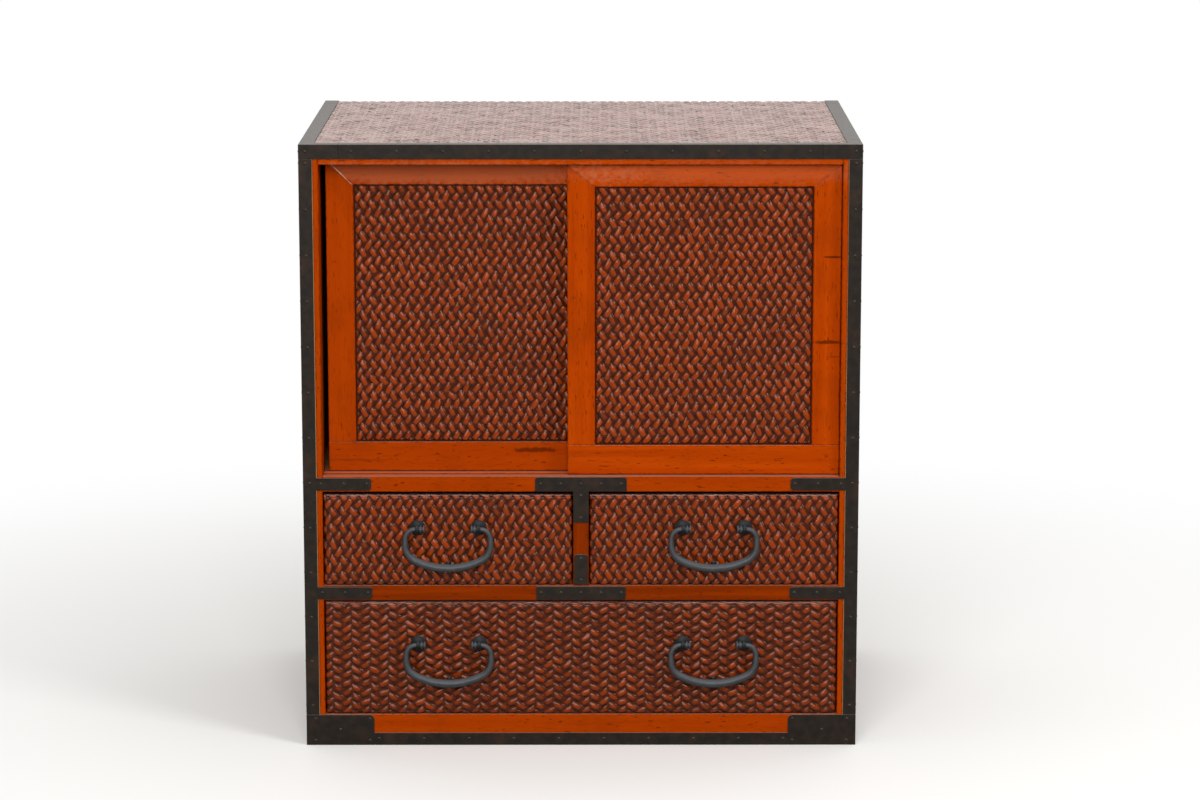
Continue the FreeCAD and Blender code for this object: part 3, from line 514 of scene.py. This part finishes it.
def shadeBacking():
    # A sheet under the splints, painted nearly black as the shade in the gaps of the weave: matt, with dust
    # and painted sky sheen where it looks up.
    look = backingLook
    material, tree, shader = newMaterial("shadeBacking")
    place = addNode(tree, "ShaderNodeTexCoord").outputs["Object"]
    cloud = addNode(tree, "ShaderNodeTexNoise", values={"Scale": 1 / (look["cloud"] * mm), "Detail": 3.0},
                    links={"Vector": place})
    colour = addNode(tree, "ShaderNodeMix", {"data_type": "RGBA"},
                     {6: srgb(look["dark"]), 7: srgb(look["light"])}, {0: cloud.outputs[0]})
    # dust with a painted sky sheen where the backing looks up
    dusty = addNode(tree, "ShaderNodeMix", {"data_type": "RGBA"}, {7: srgb(look["dustAndSheen"])},
                    {0: dustAndSheenMask(tree, look["dustAndSheenMost"], look["dustAndSheenLevel"]), 6: colour.outputs[2]})
    tree.links.new(dusty.outputs[2], shader.inputs["Base Color"])
    shader.inputs["Roughness"].default_value = look["roughness"]
    shader.inputs["Specular IOR Level"].default_value = look["specular"]
    return material


# Woven mats

# one splint between two dives, in millimetres: gap beside its neighbour, drop at its ends and at its flanks;
# the powers keep its middle flat, and reach is the share of the way to the next crossing that is modelled
splint = {"along": 6, "across": 4, "gap": 1.0, "dive": 2.6, "divePower": 2.6, "flank": 1.5, "flankPower": 5,
          "proud": 0.5, "reach": 0.86, "taper": 0.35}
# how unevenly it is woven: spreads of each splint's place in millimetres, lean in degrees, length, stain,
# roll and tip, the few dark splints, and the slow waves in which the rows wander
weave = {"shiftAlong": 0.25, "shiftUp": 0.2, "lean": 6, "length": 0.09, "stain": 0.12,
         "roll": 0.1, "tip": 0.06, "darkShare": 0.1, "darkStain": (0.05, 0.3),
         "waveLength": (60, 170), "wavePhase": (0, 6), "waveHeight": 0.45}
mats = {
    # rowAxis is the way a row of slanted splints runs, spacing and pitch are in millimetres
    # stain is a mat's mean share of rubbed orange: lowest on the wide drawer, which reads darker, and highest
    # on the right door
    "left_door_mat": {"body": "left_door", "rowAxis": "X", "spacing": 10.6, "pitch": 8.8,
                      "out": (0, -1, 0), "seed": 3, "stain": 0.46},
    "right_door_mat": {"body": "right_door", "rowAxis": "X", "spacing": 10.6, "pitch": 8.8,
                       "out": (0, -1, 0), "seed": 5, "stain": 0.54},
    "left_drawer_mat": {"body": "left_drawer", "rowAxis": "X", "spacing": 11.2, "pitch": 9.0,
                        "out": (0, -1, 0), "seed": 7, "stain": 0.42},
    "right_drawer_mat": {"body": "right_drawer", "rowAxis": "X", "spacing": 11.2, "pitch": 9.0,
                         "out": (0, -1, 0), "seed": 11, "stain": 0.4},
    "wide_drawer_mat": {"body": "wide_drawer", "rowAxis": "Z", "spacing": 10.4, "pitch": 10.1,
                        "out": (0, -1, 0), "seed": 13, "stain": 0.15},
    "top_mat": {"body": "case", "rowAxis": "X", "spacing": 10.8, "pitch": 9.4,
                "out": (0, 0, 1), "seed": 17, "stain": 0.5, "relief": 0.5, "gap": 0.5},
    "side_mat_left": {"body": "case", "rowAxis": "Z", "spacing": 10.8, "pitch": 10.4,
                      "out": (-1, 0, 0), "seed": 19, "stain": 0.45},
    "side_mat_right": {"body": "case", "rowAxis": "Z", "spacing": 10.8, "pitch": 10.4,
                       "out": (1, 0, 0), "seed": 23, "stain": 0.45},
}
# a door's mat is trimmed, and where it stops short of the frame the dark backing shows as a painted shadow
# line;
# backing is a share of the thickness
matSizes = {"thickness": 1.8, "fold": 3.6, "trim": 7.4, "backing": 0.3, "cutSlack": 1e-7}


def splintTemplate(step, width, relief):
    # One float of the weave: a crowned strip that passes over one neighbour and dives at both ends.
    bm = bmesh.new()
    bmesh.ops.create_grid(bm, x_segments=splint["across"], y_segments=splint["along"], size=1.0)
    uv = bm.loops.layers.uv.new("splint")
    bm.verts.layers.float.new("tone")
    for face in bm.faces:
        face.smooth = True
        for loop in face.loops:
            loop[uv].uv = ((loop.vert.co.x + 1) / 2, (loop.vert.co.y + 1) / 2)
    rim = [edge for edge in bm.edges if edge.is_boundary]
    for edge in rim:
        edge.smooth = False
    for vert in bm.verts:
        side = math.sin(vert.co.x * math.pi / 2)  # closer together towards the edges, for a rounder flank
        along = vert.co.y * splint["reach"]
        dive = splint["dive"] * abs(vert.co.y) ** splint["divePower"]
        drop = dive + splint["flank"] * abs(side) ** splint["flankPower"]
        taper = 1 - splint["taper"] * along ** 2
        vert.co = Vector((side * width / 2 * taper, along * step, relief * (splint["proud"] - drop) * mm))
    bmesh.ops.holes_fill(bm, edges=rim)
    mesh = bpy.data.meshes.new("splintTemplate")
    bm.to_mesh(mesh)
    bm.free()
    return mesh


def foldOver(place, low, high, radius):
    # Bends a coordinate over a drawer front's rounded edge: gives the new place, the drop and the turn.
    for end, sign in ((high, 1), (low, -1)):
        past = (place - (end - sign * radius)) * sign
        if past > 0:
            angle = min(past / radius, math.pi / 2)
            extra = max(0.0, past - radius * math.pi / 2)
            drop = radius * (1 - math.cos(angle)) + extra
            return end - sign * radius * (1 - math.sin(angle)), drop, sign * angle
    return place, 0.0, 0.0


def splintSpots(look, halfRow, halfUp, spacing, pitch, slant):
    # every splint's own place, lean, length, stain, roll and tip; the rows wander a little
    rng = random.Random(look["seed"])
    waves = [(rng.uniform(*weave["waveLength"]) * mm, rng.uniform(*weave["waveLength"]) * mm,
              rng.uniform(*weave["wavePhase"])) for _ in range(4)]
    spots = []
    rows = math.ceil(halfUp / pitch) + 2
    columns = math.ceil(halfRow / spacing) + 2
    for row in range(-rows, rows):
        for column in range(-columns, columns):
            along = (column + 0.25 + 0.5 * (row % 2)) * spacing
            up = (row + 0.5) * pitch
            drift = [weave["waveHeight"] * mm * math.sin(along / a + up / b + c) for a, b, c in waves]
            along += drift[0] + drift[1] + rng.gauss(0, weave["shiftAlong"]) * mm
            up += drift[2] + drift[3] + rng.gauss(0, weave["shiftUp"]) * mm
            lean = (slant if row % 2 == 0 else math.pi - slant) - math.pi / 2
            lean += math.radians(rng.gauss(0, weave["lean"]))
            if rng.random() < weave["darkShare"]:
                stain = rng.uniform(*weave["darkStain"])
            else:
                stain = min(1.0, max(0.0, rng.gauss(look["stain"], weave["stain"])))
            if abs(along) < halfRow + spacing and abs(up) < halfUp + pitch:
                length = rng.gauss(1.0, weave["length"])
                roll = rng.gauss(0, weave["roll"])
                tip = rng.gauss(0, weave["tip"])
                spots.append((along, up, lean, length, stain, roll, tip))
    return spots


def buildMat(nodeName, look, splintMaterial, gapMaterial):
    low, high = (Vector(corner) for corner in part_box(nodeName))
    out = Vector(look["out"])
    rowDir = Vector([float(letter == look["rowAxis"]) for letter in "XYZ"])
    upDir = Vector([abs(c) for c in out.cross(rowDir)])
    spacing, pitch = look["spacing"] * mm, look["pitch"] * mm
    slant = math.atan2(pitch, spacing / 2)
    step = math.hypot(pitch, spacing / 2)  # distance between crossings along a splint
    relief = look.get("relief", 1.0)
    template = splintTemplate(step, spacing * math.sin(slant) - look.get("gap", splint["gap"]) * mm, relief)
    count = len(template.vertices)
    middle = (low + high) / 2
    halfRow = abs((high - low).dot(rowDir)) / 2
    halfUp = abs((high - low).dot(upDir)) / 2
    depth = abs((high - low).dot(out))
    isDrawer = nodeName.endswith("drawer_mat")
    isDoor = nodeName.endswith("door_mat")
    face = middle + out * depth / 2  # middle of the mat's outer face
    thickness = matSizes["thickness"] * mm
    fold = matSizes["fold"] * mm

    spots = splintSpots(look, halfRow, halfUp, spacing, pitch, slant)
    bm = bmesh.new()
    for spot in spots:
        bm.from_mesh(template)
    tone = bm.verts.layers.float["tone"]
    for index, vert in enumerate(bm.verts):
        along, up, lean, length, stain, roll, tip = spots[index // count]
        x, y, z = vert.co
        y *= length
        z = max(z + relief * (x * roll + y * tip), -thickness)
        a = along + x * math.cos(lean) - y * math.sin(lean)
        b = up + x * math.sin(lean) + y * math.cos(lean)
        vert[tone] = stain
        if isDrawer:
            a, dropA, turnA = foldOver(a, -halfRow, halfRow, fold)
            b, dropB, turnB = foldOver(b, -halfUp, halfUp, fold)
            a += min(z, 0.0) * math.sin(turnA)
            b += min(z, 0.0) * math.sin(turnB)
            z = z * math.cos(turnA) * math.cos(turnB) - dropA - dropB
        vert.co = face + rowDir * a + upDir * b + out * z

    # cut off behind the mat, and along its sides where it doesn't fold round a drawer front
    trim = matSizes["trim"] * mm if isDoor else 0.0
    cuts = [(face - out * depth, -out)]
    if not isDrawer:
        for direction, half in ((rowDir, halfRow - trim), (upDir, halfUp - trim)):
            cuts += [(middle + direction * half, direction), (middle - direction * half, -direction)]
    for point, normal in cuts:
        bmesh.ops.bisect_plane(bm, geom=bm.verts[:] + bm.edges[:] + bm.faces[:], dist=matSizes["cutSlack"],
                               plane_co=point, plane_no=normal, clear_outer=True)
        bmesh.ops.holes_fill(bm, edges=[edge for edge in bm.edges if edge.is_boundary])

    # the dark backing that shows between the splints: painted shade
    inset = fold if isDrawer else 0.0
    thin = thickness * matSizes["backing"]
    slab = Vector([thin if abs(o) > 0.5 else abs(s) - 2 * inset for o, s in zip(out, high - low)])
    seat = Matrix.Translation(face - out * (thickness - thin / 2)) @ Matrix.Diagonal((*slab, 1.0))
    made = bmesh.ops.create_cube(bm, size=1.0, matrix=seat)
    for vert in made["verts"]:
        for piece in vert.link_faces:
            piece.material_index = 1
    mat = newObject("woven_" + nodeName, bm)
    mat.data.materials.append(splintMaterial)
    mat.data.materials.append(gapMaterial)
    bpy.data.meshes.remove(template)
    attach(mat, look["body"])
    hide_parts(nodeName)
    return len(spots)


# Frame timber, iron and pulls with softened edges

# millimetres and degrees: an edge turns more than sharp to be rounded, and less than shaded to look smooth
softening = {"merge": 0.001, "flat": 0.5, "sharp": 40, "shaded": 50, "segments": 2}


def softened(nodeName, rounding, smooth=False):
    # A copy of the CAD piece with its sharp edges rounded over.
    sharpTurn, shadedTurn = math.radians(softening["sharp"]), math.radians(softening["shaded"])
    bm = bmesh.new()
    bm.from_mesh(nodes[nodeName].data)
    bmesh.ops.remove_doubles(bm, verts=bm.verts[:], dist=softening["merge"] * mm)
    bmesh.ops.dissolve_limit(bm, angle_limit=math.radians(softening["flat"]), verts=bm.verts[:],
                             edges=bm.edges[:])
    sharp = [edge for edge in bm.edges if len(edge.link_faces) == 2 and edge.calc_face_angle(0) > sharpTurn]
    bmesh.ops.bevel(bm, geom=sharp, offset=rounding * mm, offset_type="OFFSET", affect="EDGES",
                    segments=softening["segments"], profile=0.5, material=-1, clamp_overlap=True)
    bmesh.ops.recalc_face_normals(bm, faces=bm.faces[:])
    for face in bm.faces:
        face.smooth = smooth
    for edge in bm.edges:
        edge.smooth = len(edge.link_faces) == 2 and edge.calc_face_angle(0) < shadedTurn
    return newObject("soft_" + nodeName, bm)


timbers = {
    # node: body, grain, edge rounding in millimetres, share of darkening with the worn colour; the mid rail
    # and divider post get most
    "jamb_left": ("case", "Z", 0.6, 0.15), "jamb_right": ("case", "Z", 0.6, 0.15),
    "divider_post": ("case", "Z", 0.6, 0.8),
    "head_rail": ("case", "X", 0.6, 0.1), "sill_rail": ("case", "X", 0.7, 0.2),
    "mid_rail": ("case", "X", 0.7, 0.8), "bottom_rail": ("case", "X", 0.7, 0.2),
    "left_door_stiles": ("left_door", "Z", 0.8, 0.2), "left_door_rails": ("left_door", "X", 0.8, 0.25),
    "right_door_stiles": ("right_door", "Z", 0.8, 0.0), "right_door_rails": ("right_door", "X", 0.8, 0.0),
}


def buildTimbers(lacquers):
    for nodeName, (body, axis, rounding, wear) in timbers.items():
        piece = softened(nodeName, rounding)
        worn = piece.data.attributes.new("wear", "FLOAT", "POINT")
        worn.data.foreach_set("value", [wear] * len(piece.data.vertices))
        piece.data.materials.append(lacquers[axis])
        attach(piece, body)
        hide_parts(nodeName)


# node: edge rounding in millimetres
irons = {"top_front_iron": 0.5, "top_side_irons": 0.5, "top_corner_irons": 0.5, "post_irons": 0.5,
         "base_irons": 0.4, "base_corner_plates": 0.45, "rail_end_straps": 0.45, "sill_tee_strap": 0.45,
         "divider_straps": 0.45}


def buildIrons(iron):
    for nodeName, rounding in irons.items():
        piece = softened(nodeName, rounding)
        piece.data.materials.append(iron)
        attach(piece, "case")
        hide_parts(nodeName)


pulls = {
    # node: body and edge rounding in millimetres
    "left_drawer_bail": ("left_drawer_bail", 0.7), "right_drawer_bail": ("right_drawer_bail", 0.7),
    "wide_drawer_bail_left": ("wide_drawer_bail_left", 0.7),
    "wide_drawer_bail_right": ("wide_drawer_bail_right", 0.7),
    "left_drawer_pull_posts": ("left_drawer", 0.3), "right_drawer_pull_posts": ("right_drawer", 0.3),
    "wide_drawer_pull_posts": ("wide_drawer", 0.3),
}


def buildPulls(bailIron, postIron):
    for nodeName, (body, rounding) in pulls.items():
        piece = softened(nodeName, rounding, smooth=True)
        piece.data.materials.append(postIron if nodeName.endswith("posts") else bailIron)
        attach(piece, body)
        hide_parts(nodeName)


boardGrain = {"side_left": "Z", "side_right": "Z", "top_board": "X", "bottom_board": "X", "dust_board": "X",
              "cabinet_floor": "X", "back_panel": "Z", "divider_panel": "Y", "drawer_guides": "Y",
              "left_door_backing": "Z", "right_door_backing": "Z"}
drawerGrain = {"back": "X", "sides": "Y", "bottom": "X"}


def paintNodes(boards, drawerEdge, iron):
    # CAD pieces that show as they are; what is neither a board nor a drawer front is iron
    for nodeName, node in nodes.items():
        drawerPart = nodeName.partition("_drawer_")[2]
        grain = drawerGrain.get(drawerPart) or boardGrain.get(nodeName)
        if drawerPart == "front":
            material = drawerEdge
        elif grain:
            material = boards[grain]
        else:
            material = iron
        for holder in node.material_slots:
            holder.material = material


# Everything in order

bpy.context.scene.view_settings.view_transform = "Standard"
buildCamera()
buildSky()
buildLamps()
buildFloor()
print("camera and light set")
lacquers = {axis: urushiLacquer(axis) for axis in "XZ"}
boards = {axis: planedSoftwood(axis) for axis in "XYZ"}
iron = blackenedIron("blackenedSheetIron")
paintNodes(boards, gapShadeLacquer(), iron)
buildTimbers(lacquers)
buildIrons(iron)
buildPulls(blackenedIron("skyTintedForgedIron"), blackenedIron("blackenedChasedIron"))
print("timber and iron done")
splintMaterial = lacqueredSplint()
gapMaterial = shadeBacking()
for nodeName, look in mats.items():
    print(nodeName, "splints:", buildMat(nodeName, look, splintMaterial, gapMaterial))
